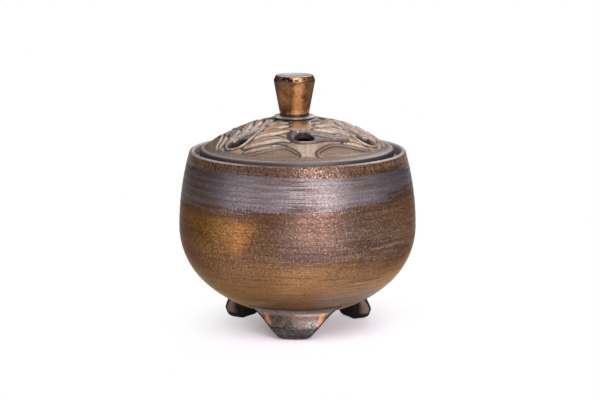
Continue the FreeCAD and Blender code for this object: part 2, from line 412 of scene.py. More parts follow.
def bronze_glaze():
    """Bronze lustre glaze on thrown stoneware, fired satin: clouds of copper and gold-brown with a
    pebbled grain that glitters where light falls, helped by painted glints, and a brushed grey slip round the
    shoulder.
    The grain is drawn a little coarse, at 0.7 mm, so that it shows."""
    material, tree, place, (x, _, z) = surface("bronze_lustre_glaze")
    strokes = brush_marks(place, 26, 5, 0.62, (1, 1, 22))
    lines = brush_marks(place, 22, 3, 0.6, (1, 1, 34), (1000, 2000, 3000))
    smudges = brush_marks(place, 15, 5, 0.65, (1, 1, 11), (4000, 5000, 6000))
    breaks = brush_marks(place, 9, 3, 0.5, (1, 1, 4), (7000, 8000, 9000))
    runs = brush_marks(place, 5, 3, 0.5, (6, 6, 1))
    rows = add(tree, TEX, {"W": z, "Scale": 1 / 1.9, "Detail": 1}, noise_dimensions="1D")
    clouds = add(tree, TEX, {"Vector": place, "Scale": 1 / 26, "Detail": 3})
    pebbles = add(tree, TEX, {"Vector": place, "Scale": 1 / 0.7, "Detail": 3, "Roughness": 0.6})
    cloud = add(tree, RANGE, {0: clouds, 1: 0.38, 2: 0.62}, **SOFT)
    ragged = add(tree, MATH, {0: clouds, 1: CLOUD_HEIGHT, 2: z}, **TIMES_PLUS)
    sideways = add(tree, MATH, {0: clouds, 1: CLOUD_SIDEWAYS, 2: x}, **TIMES_PLUS)

    # the clouded metal under everything: rosy in front, golden low down, and on the left gold-brown
    # with an orange bloom, partly a painted reflection of the left lamp, that turns to olive; then dark brush
    # lines and grey wisps
    metal = add(tree, MIX, {0: cloud, MIX_A: colour("#5c4740"), MIX_B: colour("#6e574e")}, **BLEND)
    for across, upper, under, strength, finish in METAL_CLOUDS:
        shown = patch(strength, (sideways, *across), (ragged, *upper), (ragged, *under))
        metal = add(tree, MIX, {0: shown, MIX_A: metal, MIX_B: colour(finish)}, **BLEND)
    sweep = add(tree, RANGE, {0: x, 1: 4, 2: 24, 3: 0.5, 4: 0.55}, **SOFT)
    brushed = add(tree, RANGE, {0: lines, 1: 0.48, 2: 0.66, 4: sweep}, **SOFT)
    metal = add(tree, MIX, {0: brushed, MIX_A: metal, MIX_B: colour("#432f24")}, **BLEND)
    for across, upper, under, strength in WISPS:
        wisp = patch(strength, (smudges, 0.47, 0.68), (x, *across), (z, *upper), (z, *under))
        metal = add(tree, MIX, {0: wisp, MIX_A: metal, MIX_B: colour("#7b7172")}, **BLEND)

    # brushed slip band: its lower edge climbs to the right, faster at the end; strokes fray both edges
    # and grains crumble the lower one
    fray = shaken(z, strokes, 15)
    climb = add(tree, MATH, {0: x, 1: -0.03, 2: shaken(fray, pebbles, 9)}, **TIMES_PLUS)
    swoop = add(tree, RANGE, {0: x, 1: 20, 2: 46, 4: 3.5})
    climb = add(tree, MATH, {0: climb, 1: swoop}, operation="SUBTRACT")
    drop = add(tree, MATH, {0: x, 1: 0.03, 2: fray}, **TIMES_PLUS)
    band = patch(1.0, (climb, 55.6, 58.6), (drop, 71.2, 70.2))
    # darker copper just below the slip band
    darker_under_band = add(tree, RANGE, {0: climb, 1: 51, 2: 57, 4: 0.55}, **SOFT)
    metal = add(tree, MIX, {0: darker_under_band, MIX_A: metal, MIX_B: colour("#4c3629")}, **BLEND)
    torn = add(tree, MATH, {0: strokes, 1: lines}, **LARGER)
    dashes = patch(1.0, (rows, 0.52, 0.62), (breaks, 0.45, 0.53))
    torn = add(tree, RANGE, {0: torn, 1: 0.52, 2: 0.58}, **SOFT)
    gaps = add(tree, MATH, {0: torn, 1: dashes}, **LARGER)
    near = add(tree, RANGE, {0: off(x, -12), 1: 24, 2: 10, 3: 0.25, 4: 0.95}, **SOFT)
    gaps = add(tree, MATH, {0: gaps, 1: near}, **TIMES)
    slip = colour("#6e6669")
    for amount, finish in ((cloud, "#797073"), (gaps, "#3e2e26")):
        slip = add(tree, MIX, {0: amount, MIX_A: slip, MIX_B: colour(finish)}, **BLEND)
    for (start, whole), strength, finish in SLIP_SHADES:
        shade = add(tree, RANGE, {0: x, 1: start, 2: whole, 4: strength}, **SOFT)
        slip = add(tree, MIX, {0: shade, MIX_A: slip, MIX_B: colour(finish)}, **BLEND)
    # the slip darker towards its top edge
    darker_band_top = add(tree, RANGE, {0: drop, 1: 66.5, 2: 70, 4: 0.35}, **SOFT)
    worn = patch(0.8, (sideways, -20, -34), (strokes, 0.42, 0.55))
    for amount, finish in ((darker_band_top, "#4a3f40"), (worn, "#553a20")):
        slip = add(tree, MIX, {0: amount, MIX_A: slip, MIX_B: colour(finish)}, **BLEND)
    skin = add(tree, MIX, {0: band, MIX_A: metal, MIX_B: slip}, **BLEND)

    # dark tears and a scorch in the copper under the lip, and the thin pale line where glaze breaks on it,
    # made paler towards the sides as a painted highlight
    at_rim = add(tree, RANGE, {0: drop, 1: 70.0, 2: 71.4}, **SOFT)
    tears = patch(0.85, (runs, 0.52, 0.6), (drop, 70.0, 71.4))
    scorch = patch(0.75, (x, 12, 32), (drop, 69.8, 70.6), (drop, 72.6, 71.2))
    # painted highlight: the lip's pale line grows paler towards the sides
    lip_highlight_sides = add(tree, RANGE, {0: off(x, 0), 1: 12, 2: 34, 3: 0.15, 4: 1.0}, **SOFT)
    lip = add(tree, RANGE, {0: z, 1: 74.3, 2: 74.7, 4: lip_highlight_sides}, **SOFT)
    for amount, finish in ((tears, "#3c2a20"), (scorch, "#3f3126"), (lip, "#a89c95")):
        skin = add(tree, MIX, {0: amount, MIX_A: skin, MIX_B: colour(finish)}, **BLEND)

    # grain: dark specks between the pebbles and painted glints on them, calmer low down and on the slip
    lower = add(tree, RANGE, {0: z, 1: 38, 2: 22}, **SOFT)
    calm = add(tree, MATH, {0: lower, 1: band}, **LARGER)
    calm = add(tree, RANGE, {0: calm, 3: 1.0, 4: 0.58})
    specks = add(tree, RANGE, {0: pebbles, 1: 0.6, 2: 0.36, 4: 0.6}, **SOFT)
    specks = add(tree, MATH, {0: specks, 1: calm}, **TIMES)
    dark = colour("#776962")
    skin = add(tree, MIX, {0: specks, MIX_A: skin, MIX_B: dark}, blend_type="MULTIPLY", **BLEND)
    bare = add(tree, RANGE, {0: band, 3: 1.0, 4: 0.0})
    bare = add(tree, MATH, {0: bare, 1: calm}, **TIMES)
    lit = patch(1.0, (off(x, 8), 14, 6), (drop, 70.0, 71.4))
    # painted glints: pale specks on the pebbles, on the metal and the slip, and most on the rim where the
    # front lamp falls
    for where, low, high, strength, finish in (
            (bare, 0.58, 0.72, 0.34, "#c9977c"), (band, 0.6, 0.74, 0.2, "#b3a6ac"),
            (lit, 0.52, 0.66, 0.36, "#c8a99d")):
        glints = add(tree, RANGE, {0: pebbles, 1: low, 2: high, 4: strength}, **SOFT)
        glints = add(tree, MATH, {0: glints, 1: where}, **TIMES)
        skin = add(tree, MIX, {0: glints, MIX_A: skin, MIX_B: colour(finish)}, **BLEND)

    metallic = add(tree, RANGE, {0: band, 3: 0.85, 4: 0.6})
    metallic = add(tree, MATH, {0: at_rim, 1: -0.35, 2: metallic}, **TIMES_PLUS)
    metallic = add(tree, MATH, {0: lip, 1: -0.4, 2: metallic}, **TIMES_PLUS)
    edge = colour("#a08e62")
    for amount, finish in ((lower, "#c8b69c"), (band, "#625a60"), (at_rim, "#d3bca8")):
        edge = add(tree, MIX, {0: amount, MIX_A: edge, MIX_B: colour(finish)}, **BLEND)
    rough = add(tree, RANGE, {0: pebbles, 1: 0.3, 2: 0.7, 3: 0.46, 4: 0.34})
    relief = add(tree, MATH, {0: lines, 1: 0.8, 2: pebbles}, **TIMES_PLUS)
    return fired(material, skin, {
        "Metallic": metallic, "Roughness": rough, "IOR": 1.5,
        "Specular Tint": edge, "Coat Weight": 0.03, "Coat Roughness": 0.4}, relief, 0.6, 0.16)


def inner_glaze():
    """Thin ash-grey glaze inside the pot: dull, a little streaky and freckled with iron, with painted light
    making it paler at the lip, where the lid shades the wall.
    """
    material, tree, place, (_, _, z) = surface("thin_grey_inner_glaze")
    streaks = brush_marks(place, 20, 4, 0.5, (1, 1, 8))
    motes = add(tree, TEX, {"Vector": place, "Scale": 1 / 1.2, "Detail": 3})
    # painted light: paler towards the lip, on the wall that the lid shades
    rim = add(tree, RANGE, {0: z, 1: 71, 2: 73, 4: 0.9}, **SOFT)
    freckle = add(tree, RANGE, {0: motes, 1: 0.6, 2: 0.72, 4: 0.7}, **SOFT)
    skin = colour("#4b4542")
    for amount, finish in ((streaks, "#6d645e"), (rim, "#b0a59e"), (freckle, "#45362c")):
        skin = add(tree, MIX, {0: amount, MIX_A: skin, MIX_B: colour(finish)}, **BLEND)
    return fired(material, skin, {"Roughness": 0.45, "IOR": 1.5}, motes, 0.3, 0.1)


# What the carving tells the lid's glaze, kept at each point of its mesh
GLAZE_LAYERS = ("pooled", "broken", "golden", "hollow", "panel", "tone")


def carved_glaze():
    """Matt sand-coloured lustre over carved clay: it pools slate-dark in the cuts and in the smoke holes,
    where the dark is also painted shade, breaks cream on their edges, a cream that also stands as painted
    highlight, and runs thin and brown, in turned rings, over the uncarved margin."""
    material, tree, place, (_, _, z) = surface("carved_sand_glaze")
    plan = add(tree, MAPPING, {"Vector": place, "Location": (-LID_X, 0, 0), "Scale": (1, 1, 0)})
    reach = add(tree, VECTOR, {0: plan}, **LENGTH)
    pooled, broken, golden, hollow, panel, tone = [
        add(tree, "ShaderNodeAttribute", {}, out="Fac", attribute_name=name)
        for name in GLAZE_LAYERS]
    clouds = add(tree, TEX, {"Vector": place, "Scale": 1 / 8, "Detail": 3})
    pebbles = add(tree, TEX, {"Vector": place, "Scale": 1 / 0.75, "Detail": 2})
    motes = add(tree, TEX, {"Vector": place, "Scale": 1 / 2.2, "Detail": 3, "Roughness": 0.7})
    rings = add(tree, TEX, {"W": reach, "Scale": 1 / 1.5, "Detail": 2}, noise_dimensions="1D")

    shade = add(tree, MATH, {0: tone, 1: 0.35, 2: clouds}, **TIMES_PLUS)
    shade = add(tree, RANGE, {0: shade, 1: 0.4, 2: 0.8}, **SOFT)
    upper = add(tree, RANGE, {0: reach, 1: 30, 2: 22, 4: 0.6}, **SOFT)
    glow = add(tree, RANGE, {0: clouds, 1: 0.44, 2: 0.62, 4: 0.8}, **SOFT)
    glow = add(tree, MATH, {0: glow, 1: golden}, **LARGER)
    crown = add(tree, RANGE, {0: reach, 1: 16, 2: 11.5}, **SOFT)
    brown = add(tree, RANGE, {0: reach, 1: 35.6, 2: 36.8}, **SOFT)
    brown = add(tree, MATH, {0: brown, 1: panel}, **LARGER)
    rings = add(tree, RANGE, {0: rings, 1: 0.48, 2: 0.62, 4: 0.6}, **SOFT)
    rings = add(tree, MATH, {0: rings, 1: brown}, **TIMES)
    worn = add(tree, RANGE, {0: motes, 1: 0.3, 2: 0.6, 3: 0.35}, **SOFT)
    # pale: cream where glaze breaks on the carved edges, also a painted highlight
    pale = add(tree, MATH, {0: broken, 1: worn}, **TIMES)
    slate_ring = add(tree, RANGE, {0: reach, 1: 37.0, 2: 37.7}, **SOFT)
    pits = add(tree, RANGE, {0: pebbles, 1: 0.5, 2: 0.34, 4: 0.55}, **SOFT)
    # painted glints: pale specks on the pebbles
    glints = add(tree, RANGE, {0: pebbles, 1: 0.58, 2: 0.74, 4: 0.4}, **SOFT)
    specks = add(tree, RANGE, {0: motes, 1: 0.52, 2: 0.7, 4: 0.4}, **SOFT)
    # painted highlight: a paler line on the bead near the lid's edge
    bead_highlight = add(tree, RANGE, {0: off(reach, BEAD_REACH), 1: BEAD_HALF, 2: 0.5 * BEAD_HALF}, **SOFT)
    rim = add(tree, RANGE, {0: reach, 1: 40.1, 2: 40.4}, **SOFT)
    side = add(tree, RANGE, {0: z, 1: 75.75, 2: 75.5, 4: rim}, **SOFT)
    skin = colour("#8a7262")
    for amount, finish in (
            (shade, "#a8917f"), (upper, "#b6a498"), (glow, "#a37c54"), (crown, "#695443"),
            (brown, "#7d624e"), (rings, "#5d4637"), (hollow, "#665b5c"), (pale, "#b0a294"),
            (slate_ring, "#6a5b54"), (pits, "#54453b"), (glints, "#c4ad98"), (pooled, "#373033"),
            (specks, "#6a5138"), (bead_highlight, "#8a7f77"), (rim, "#5a5155"), (side, "#3d3539")):
        skin = add(tree, MIX, {0: amount, MIX_A: skin, MIX_B: colour(finish)}, **BLEND)

    rough = add(tree, RANGE, {0: pebbles, 1: 0.3, 2: 0.7, 3: 0.42, 4: 0.56})
    rough = add(tree, MATH, {0: crown, 1: -0.16, 2: rough}, **TIMES_PLUS)
    rough = add(tree, MATH, {0: hollow, 1: -0.24, 2: rough}, **TIMES_PLUS)
    metallic = add(tree, RANGE, {0: crown, 3: 0.25, 4: 0.45})
    return fired(material, skin, {
        "Metallic": metallic, "Roughness": rough, "IOR": 1.5,
        "Coat Weight": 0.1, "Coat Roughness": 0.3}, pebbles, 0.4, 0.1)


def knob_glaze():
    """The bronze glaze run thick and glossy: mottled copper-gold with a painted highlight stripe in front and
    drips at the root brightened by painted glints, painted dark reflections on the bevel, a slate line where
    it thins on each arris, and a pale grey pool on top."""
    material, tree, place, (x, y, z) = surface("glossy_copper_gold_glaze")
    clouds = add(tree, TEX, {"Vector": place, "Scale": 1 / 5, "Detail": 5, "Roughness": 0.65})
    pebbles = add(tree, TEX, {"Vector": place, "Scale": 1 / 0.8, "Detail": 3, "Roughness": 0.6})
    fray = add(tree, MATH, {0: clouds, 1: 0.7, 2: z}, **TIMES_PLUS)
    cloud = add(tree, RANGE, {0: clouds, 1: 0.36, 2: 0.64}, **SOFT)
    # painted highlight: a bright stripe just right of the front, standing for a lamp's reflection
    highlight_stripe = patch(0.85, (clouds, 0.34, 0.5), (off(x, KNOB_X + 1.7), 3.2, 0.8), (y, 0, -4))
    specks = add(tree, RANGE, {0: pebbles, 1: 0.5, 2: 0.32, 4: 0.7}, **SOFT)
    bevel = add(tree, RANGE, {0: z, 1: KNOB_RIM_HEIGHT, 2: KNOB_RIM_HEIGHT + 0.2}, **SOFT)
    # painted reflection: dark patches on the bevel
    dark_reflection_patches = add(tree, RANGE, {0: clouds, 1: 0.46, 2: 0.4, 4: bevel}, **SOFT)
    rim_line, top_line = [
        add(tree, RANGE, {0: off(fray, height), 1: half, 2: 0.5 * half, 4: 0.9}, **SOFT)
        for height, half in ((KNOB_RIM_HEIGHT + 0.2, 0.55), (KNOB_TOP + 0.2, 0.4))]
    normal = add(tree, "ShaderNodeNewGeometry", {}, out="Normal")
    up = add(tree, "ShaderNodeSeparateXYZ", {0: normal}, out="Z")
    top = add(tree, RANGE, {0: up, 1: 0.8, 2: 0.95}, **SOFT)
    # copper drips at the root, brightened as painted glints
    drips_and_glints = patch(0.8, (z, 93.2, 91.6), (clouds, 0.48, 0.56))
    root = add(tree, RANGE, {0: fray, 1: 91.4, 2: 90.6}, **SOFT)
    skin = colour("#4a3019")
    for amount, finish in (
            (cloud, "#74502f"), (highlight_stripe, "#a8734a"), (specks, "#33200f"), (bevel, "#b07c50"),
            (dark_reflection_patches, "#2a1a0c"), (rim_line, "#463e42"), (top_line, "#463e42"), (top, "#dbd1cd"),
            (drips_and_glints, "#bd8450"), (root, "#453b3d")):
        skin = add(tree, MIX, {0: amount, MIX_A: skin, MIX_B: colour(finish)}, **BLEND)
    metallic = add(tree, RANGE, {0: top, 3: 0.85, 4: 0.1})
    rough = add(tree, RANGE, {0: bevel, 3: 0.36, 4: 0.2})
    return fired(material, skin, {
        "Metallic": metallic, "Roughness": rough, "IOR": 1.5,
        "Specular Tint": colour("#6b4a28"), "Coat Weight": 0.08, "Coat Roughness": 0.12}, pebbles, 0.5, 0.12)


def collar_glaze():
    """Grey glaze pooled round the knob's root: smooth, shiny and mottled, with a painted highlight that makes
    it palest at the sides and painted shade darkening its foot.
    """
    material, tree, place, (x, _, z) = surface("pooled_grey_glaze")
    clouds = add(tree, TEX, {"Vector": place, "Scale": 1 / 3, "Detail": 3})
    # painted highlight: paler at the collar's two ends
    ends = add(tree, RANGE, {0: off(x, KNOB_X), 1: 4, 2: 7}, **SOFT)
    mottle = add(tree, RANGE, {0: clouds, 1: 0.42, 2: 0.62, 4: 0.6}, **SOFT)
    # painted shade: darker at the collar's foot, where it sits on the lid
    under = add(tree, RANGE, {0: z, 1: LAND_HEIGHT + 0.9, 2: LAND_HEIGHT + 0.4}, **SOFT)
    skin = colour("#61544f")
    for amount, finish in ((ends, "#d2c8c4"), (mottle, "#6a6264"), (under, "#2e2728")):
        skin = add(tree, MIX, {0: amount, MIX_A: skin, MIX_B: colour(finish)}, **BLEND)
    return fired(material, skin, {"Metallic": 0.2, "Roughness": 0.3, "IOR": 1.5})


def foot_glaze():
    """The glaze where it ran out over the feet: speckled iron grey, copper on the shoulders of each
    foot, near-black at the sole, painted shade near-black behind and along its outline, painted highlights on
    the neck and in pale flecks low on the right, and brown on the cut flanks."""
    material, tree, place, (x, _, z) = surface("iron_grey_foot_glaze")
    flank, front = [add(tree, "ShaderNodeAttribute", {}, out="Fac", attribute_name=name)
                    for name in ("flank", "front")]
    clouds = add(tree, TEX, {"Vector": place, "Scale": 1 / 5, "Detail": 3})
    motes = add(tree, TEX, {"Vector": place, "Scale": 1 / 0.6, "Detail": 3, "Roughness": 0.7})
    ragged = add(tree, MATH, {0: clouds, 1: 2.0, 2: z}, **TIMES_PLUS)
    slant = add(tree, MATH, {0: z, 1: 0.033, 2: flank}, **TIMES_PLUS)
    slant = add(tree, MATH, {0: clouds, 1: 0.3, 2: slant}, **TIMES_PLUS)
    cloud = add(tree, RANGE, {0: clouds, 1: 0.4, 2: 0.6}, **SOFT)
    rust = add(tree, RANGE, {0: clouds, 1: 0.54, 2: 0.62, 4: 0.5}, **SOFT)
    # painted highlight: paler grey in the hollow of the neck
    neck = add(tree, RANGE, {0: ragged, 1: 10.4, 2: 11.2}, **SOFT)
    glaze_line, sole_line = [
        add(tree, RANGE, {0: off(ragged, height), 1: half, 2: 0.3 * half, 4: 0.8}, **SOFT)
        for height, half in ((10.9, 0.5), (6.3, 0.4))]
    joint = add(tree, RANGE, {0: z, 1: 11.9, 2: 12.7}, **SOFT)
    sole = add(tree, RANGE, {0: ragged, 1: 6.9, 2: 6.2, 4: 0.85}, **SOFT)
    flecks = add(tree, RANGE, {0: motes, 1: 0.54, 2: 0.66, 4: 0.6}, **SOFT)
    specks = add(tree, RANGE, {0: motes, 1: 0.46, 2: 0.36, 4: 0.8}, **SOFT)
    # painted highlight: pale flecks low on the right of each foot
    highlight_flecks = patch(0.8, (motes, 0.42, 0.6), (x, 0, 7), (z, 5.0, 6.0), (z, 8.8, 7.0))
    copper = patch(1.0, (slant, 1.17, 1.23), (slant, 1.34, 1.28), (ragged, 7.0, 8.6),
                    (ragged, 12.0, 11.0))
    # painted shade: near-black along the foot's side edges
    outline_shade = add(tree, RANGE, {0: flank, 1: 0.91, 2: 0.95, 4: 0.95}, **SOFT)
    # painted shade: near-black on the faces turned away from the front
    shade_behind = add(tree, RANGE, {0: front, 1: 0.97, 2: 0.9, 4: 0.92}, **SOFT)
    cut = patch(1.0, (flank, 0.98, 0.999), (front, 0.0, 0.7), (front, 1.0, 0.96), (ragged, 3.0, 5.0))
    skin = colour("#3c3432")
    for amount, finish in (
            (cloud, "#584c46"), (rust, "#5e4438"), (neck, "#5a524e"), (glaze_line, "#7d5138"),
            (joint, "#4a382b"), (sole, "#201b1c"), (sole_line, "#120f10"), (flecks, "#766c66"),
            (specks, "#1d1819"), (highlight_flecks, "#a89b9a"), (copper, "#b0744a"), (outline_shade, "#120f0f"),
            (shade_behind, "#0d0a0a"), (cut, "#7d6b60")):
        skin = add(tree, MIX, {0: amount, MIX_A: skin, MIX_B: colour(finish)}, **BLEND)
    shade_and_outline = add(tree, MATH, {0: shade_behind, 1: outline_shade}, **LARGER)
    rough = add(tree, RANGE, {0: shade_and_outline, 3: 0.26, 4: 0.85})
    shine = add(tree, RANGE, {0: shade_and_outline, 3: 0.5, 4: 0.1})
    return fired(material, skin, {
        "Metallic": 0.4, "Roughness": rough, "Specular IOR Level": shine, "IOR": 1.5}, motes, 0.8, 0.15)


def sifted_ash():
    """Sifted wood ash: dead matt, pale grey, crumbed, with a few charred flecks."""
    material, tree, place, _ = surface("sifted_wood_ash")
    clouds = add(tree, TEX, {"Vector": place, "Scale": 1 / 12, "Detail": 4})
    crumbs = add(tree, TEX, {"Vector": place, "Scale": 1 / 0.9, "Detail": 4, "Roughness": 0.7})
    char = add(tree, RANGE, {0: crumbs, 1: 0.66, 2: 0.74, 4: 0.8}, **SOFT)
    skin = colour("#a8a39b")
    for amount, finish in ((clouds, "#cbc7c0"), (char, "#5b5550")):
        skin = add(tree, MIX, {0: amount, MIX_A: skin, MIX_B: colour(finish)}, **BLEND)
    return fired(material, skin, {"Roughness": 0.95, "IOR": 1.4}, crumbs, 0.8, 0.3)


def dried_incense():
    """Extruded incense paste: matt red-brown with pale wood fibres and a rough, dry skin."""
    material, tree, place, _ = surface("dried_incense_paste")
    fibres = add(tree, TEX, {"Vector": place, "Scale": 1 / 0.7, "Detail": 4, "Roughness": 0.7})
    clouds = add(tree, TEX, {"Vector": place, "Scale": 1 / 7, "Detail": 2})
    pale = add(tree, RANGE, {0: fibres, 1: 0.58, 2: 0.72, 4: 0.6}, **SOFT)
    skin = colour("#4d3420")
    for amount, finish in ((clouds, "#6a4a2c"), (pale, "#9a7c55")):
        skin = add(tree, MIX, {0: amount, MIX_A: skin, MIX_B: colour(finish)}, **BLEND)
    return fired(material, skin, {"Roughness": 0.9, "IOR": 1.4}, fibres, 0.7, 0.15)


# Bowl

shoulder_centre = (BELLY_RADIUS - SHOULDER_ARC, BELLY_HEIGHT)
flank_centre = (BELLY_RADIUS - FLANK_ARC, BELLY_HEIGHT)
flank_turn = math.radians(FLANK_TURN)
base_centre = (
    flank_centre[0] + (FLANK_ARC - BASE_ARC) * math.cos(flank_turn),
    flank_centre[1] - (FLANK_ARC - BASE_ARC) * math.sin(flank_turn),
)


def lower_wall(inset, bottom, steps):
    """The bowl's two lower arcs, moved in by inset, from the bottom up to the belly."""
    first = level_angle(base_centre, BASE_ARC - inset, bottom)
    base = arc(base_centre, BASE_ARC - inset, first, -FLANK_TURN, steps)
    flank = arc(flank_centre, FLANK_ARC - inset, -FLANK_TURN, 0, steps)
    return base + flank[1:]


def bowl_underside(radius):
    """Height of the bowl's outside below the flank, at a distance from the axis."""
    return base_centre[1] - math.sqrt(BASE_ARC ** 2 - (radius - base_centre[0]) ** 2)


def bowl_section():
    """Outside from the base up, over the lip, down to the lid's ledge and down the inside."""
    wall = lower_wall(0, BASE_HEIGHT, 34)
    lip_angle = level_angle(shoulder_centre, SHOULDER_ARC - LIP_RADIUS, LIP_CENTRE_HEIGHT)
    shoulder = arc(shoulder_centre, SHOULDER_ARC, 0, lip_angle, 60)
    lip_reach = shoulder_centre[0] + (SHOULDER_ARC - LIP_RADIUS) * math.cos(math.radians(lip_angle))
    lip = arc((lip_reach, LIP_CENTRE_HEIGHT), LIP_RADIUS, lip_angle, 180, 12)
    ledge_corner = (LEDGE_WALL_RADIUS, LEDGE_HEIGHT)
    ledge_edge = (LEDGE_RADIUS, LEDGE_HEIGHT)
    nose_foot = (LEDGE_RADIUS, LEDGE_HEIGHT - LEDGE_NOSE)
    root_angle = level_angle(shoulder_centre, SHOULDER_ARC - BOWL_WALL, LEDGE_ROOT_HEIGHT)
    inside = arc(shoulder_centre, SHOULDER_ARC - BOWL_WALL, root_angle, 0, 16)
    inner_wall = lower_wall(BOWL_WALL, BOWL_FLOOR, 12)
    return joined([(0, BASE_HEIGHT)], (wall[0], 6), wall, shoulder, lip, (ledge_corner, 4),
                  (ledge_edge, 4), (nose_foot, 2), (inside[0], 4), inside, inner_wall[::-1],
                  ((0, BOWL_FLOOR), 5))


def make_bowl():
    """The thrown bowl, with the throwing ring that winds up its wall and the hand's slight wobble."""
    bm = turned(bowl_section(), 360)
    for vert in bm.verts:
        radius = math.hypot(vert.co.x, vert.co.y)
        if radius < TRUE_RADIUS * MM:
            continue
        height = vert.co.z / MM
        turn = math.atan2(vert.co.x, -vert.co.y)
        ring = THROWING_DEPTH * (1 - math.cos(2 * math.pi * height / THROWING_RING + turn)) / 2
        wave = HAND_WOBBLE * (noise.noise(vert.co / (WOBBLE_SIZE * MM)) + 1) / 2
        inwards = (ring + wave) * MM / radius
        vert.co.x -= vert.co.x * inwards
        vert.co.y -= vert.co.y * inwards
    bm.normal_update()
    for face in bm.faces:
        middle = face.calc_center_median()
        outwards = face.normal.x * middle.x + face.normal.y * middle.y
        faces_up = face.normal.z > UPWARD and middle.z < (LIP_CENTRE_HEIGHT - LIP_RADIUS) * MM
        face.material_index = int(outwards < -INWARD_LEAN * BELLY_RADIUS * MM or faces_up)
    return finished(bm, "glazed_bowl", "burner", "bowl",
                    [bronze_glaze(), inner_glaze()])


# Feet

def foot_half_width(height):
    """Half the width of a foot's bell outline at a height."""
    corner_x = FOOT_FLAT_HALF + FOOT_CORNER_ARC * math.sin(FOOT_FLANK_ANGLE)
    corner_z = FOOT_CORNER_ARC * (1 - math.cos(FOOT_FLANK_ANGLE))
    flank_x = corner_x + FOOT_FLANK_RUN
    flank_z = corner_z + FOOT_FLANK_RUN * math.tan(FOOT_FLANK_ANGLE)
    centre_x = flank_x + FOOT_ARCH_ARC * math.sin(FOOT_FLANK_ANGLE)
    centre_z = flank_z - FOOT_ARCH_ARC * math.cos(FOOT_FLANK_ANGLE)
    arch_x = centre_x - FOOT_ARCH_ARC * math.sin(FOOT_ARCH_ANGLE)
    arch_z = centre_z + FOOT_ARCH_ARC * math.cos(FOOT_ARCH_ANGLE)
    if height < corner_z:
        return FOOT_FLAT_HALF + math.sqrt(FOOT_CORNER_ARC ** 2 - (FOOT_CORNER_ARC - height) ** 2)
    if height < flank_z:
        return corner_x + (height - corner_z) / math.tan(FOOT_FLANK_ANGLE)
    if height < arch_z:
        return centre_x - math.sqrt(FOOT_ARCH_ARC ** 2 - (height - centre_z) ** 2)
    return arch_x + (height - arch_z) / math.tan(FOOT_ARCH_ANGLE)


def foot_outer(height):
    """Outer radius of the foot ring: rounded sole, a face that leans in, and a hollow neck."""
    if height < FOOT_OUTER_ROUND:
        drop = FOOT_OUTER_ROUND - height
        return FOOT_OUTER_LOW - FOOT_OUTER_ROUND + math.sqrt(FOOT_OUTER_ROUND ** 2 - drop ** 2)
    if height < FOOT_LOW_HEIGHT:
        return FOOT_OUTER_LOW
    if height < FOOT_NECK_HEIGHT:
        lean = (height - FOOT_LOW_HEIGHT) / (FOOT_NECK_HEIGHT - FOOT_LOW_HEIGHT)
        return FOOT_OUTER_LOW + (FOOT_OUTER_NECK - FOOT_OUTER_LOW) * lean
    centre_radius, centre_height = FOOT_NECK_ARC_CENTRE
    rise = min(height - centre_height, 0.999 * FOOT_NECK_ARC)
    return centre_radius - math.sqrt(FOOT_NECK_ARC ** 2 - rise ** 2)


def foot_inner(height):
    """Inner radius of the foot ring, with its rounded sole."""
    if height < FOOT_INNER_ROUND:
        rise = FOOT_INNER_ROUND - height
        return FOOT_INNER + FOOT_INNER_ROUND - math.sqrt(FOOT_INNER_ROUND ** 2 - rise ** 2)
    return FOOT_INNER


def make_foot(name, node, turn, material):
    """A block whose grid is drawn out to the bell outline, bent round the ring and sunk into the bowl."""
    bm = bmesh.new()
    bmesh.ops.create_cube(bm, size=2)
    bmesh.ops.subdivide_edges(bm, edges=bm.edges, cuts=FOOT_CUTS, use_grid_fill=True)
    flank = bm.verts.layers.float.new("flank")
    front = bm.verts.layers.float.new("front")
    spin = Matrix.Rotation(math.radians(turn), 3, "Z")
    for vert in bm.verts:
        across, through, up = vert.co
        across = 0.5 * across + 0.5 * math.sin(across * math.pi / 2)
        depth = (through + 1) / 2
        level = ((up + 1) / 2) ** FOOT_CROWDING
        vert[flank] = abs(across)
        vert[front] = depth
        rough_radius = FOOT_INNER + depth * (FOOT_OUTER_NECK - FOOT_INNER)
        height = level * (bowl_underside(rough_radius) + FOOT_SINK)
        half_width = foot_half_width(height)
        from_edge = min((1 - abs(across)) * half_width, FOOT_EDGE_ROUND)
        rounding = FOOT_EDGE_ROUND - math.sqrt(FOOT_EDGE_ROUND ** 2 - (FOOT_EDGE_ROUND - from_edge) ** 2)
        inner = foot_inner(height) + rounding
        outer = foot_outer(height) - rounding
        radius = inner + depth * (outer - inner)
        x = across * half_width
        y = -math.sqrt(max(radius ** 2 - x ** 2, 1.0))
        vert.co = spin @ Vector((x * MM, y * MM, height * MM))
    bmesh.ops.recalc_face_normals(bm, faces=bm.faces)
    return finished(bm, name, "burner", node, [material])


# Lid: the carving is laid out on a plan of the dome, in one sector that repeats round it.
# Each stroke is a list of (degrees from the sector's middle, distance from the axis, half width).
# A hollow also has how pale its rim breaks, a paleness that is also painted highlight, and how dark the glaze
# pools on that rim.

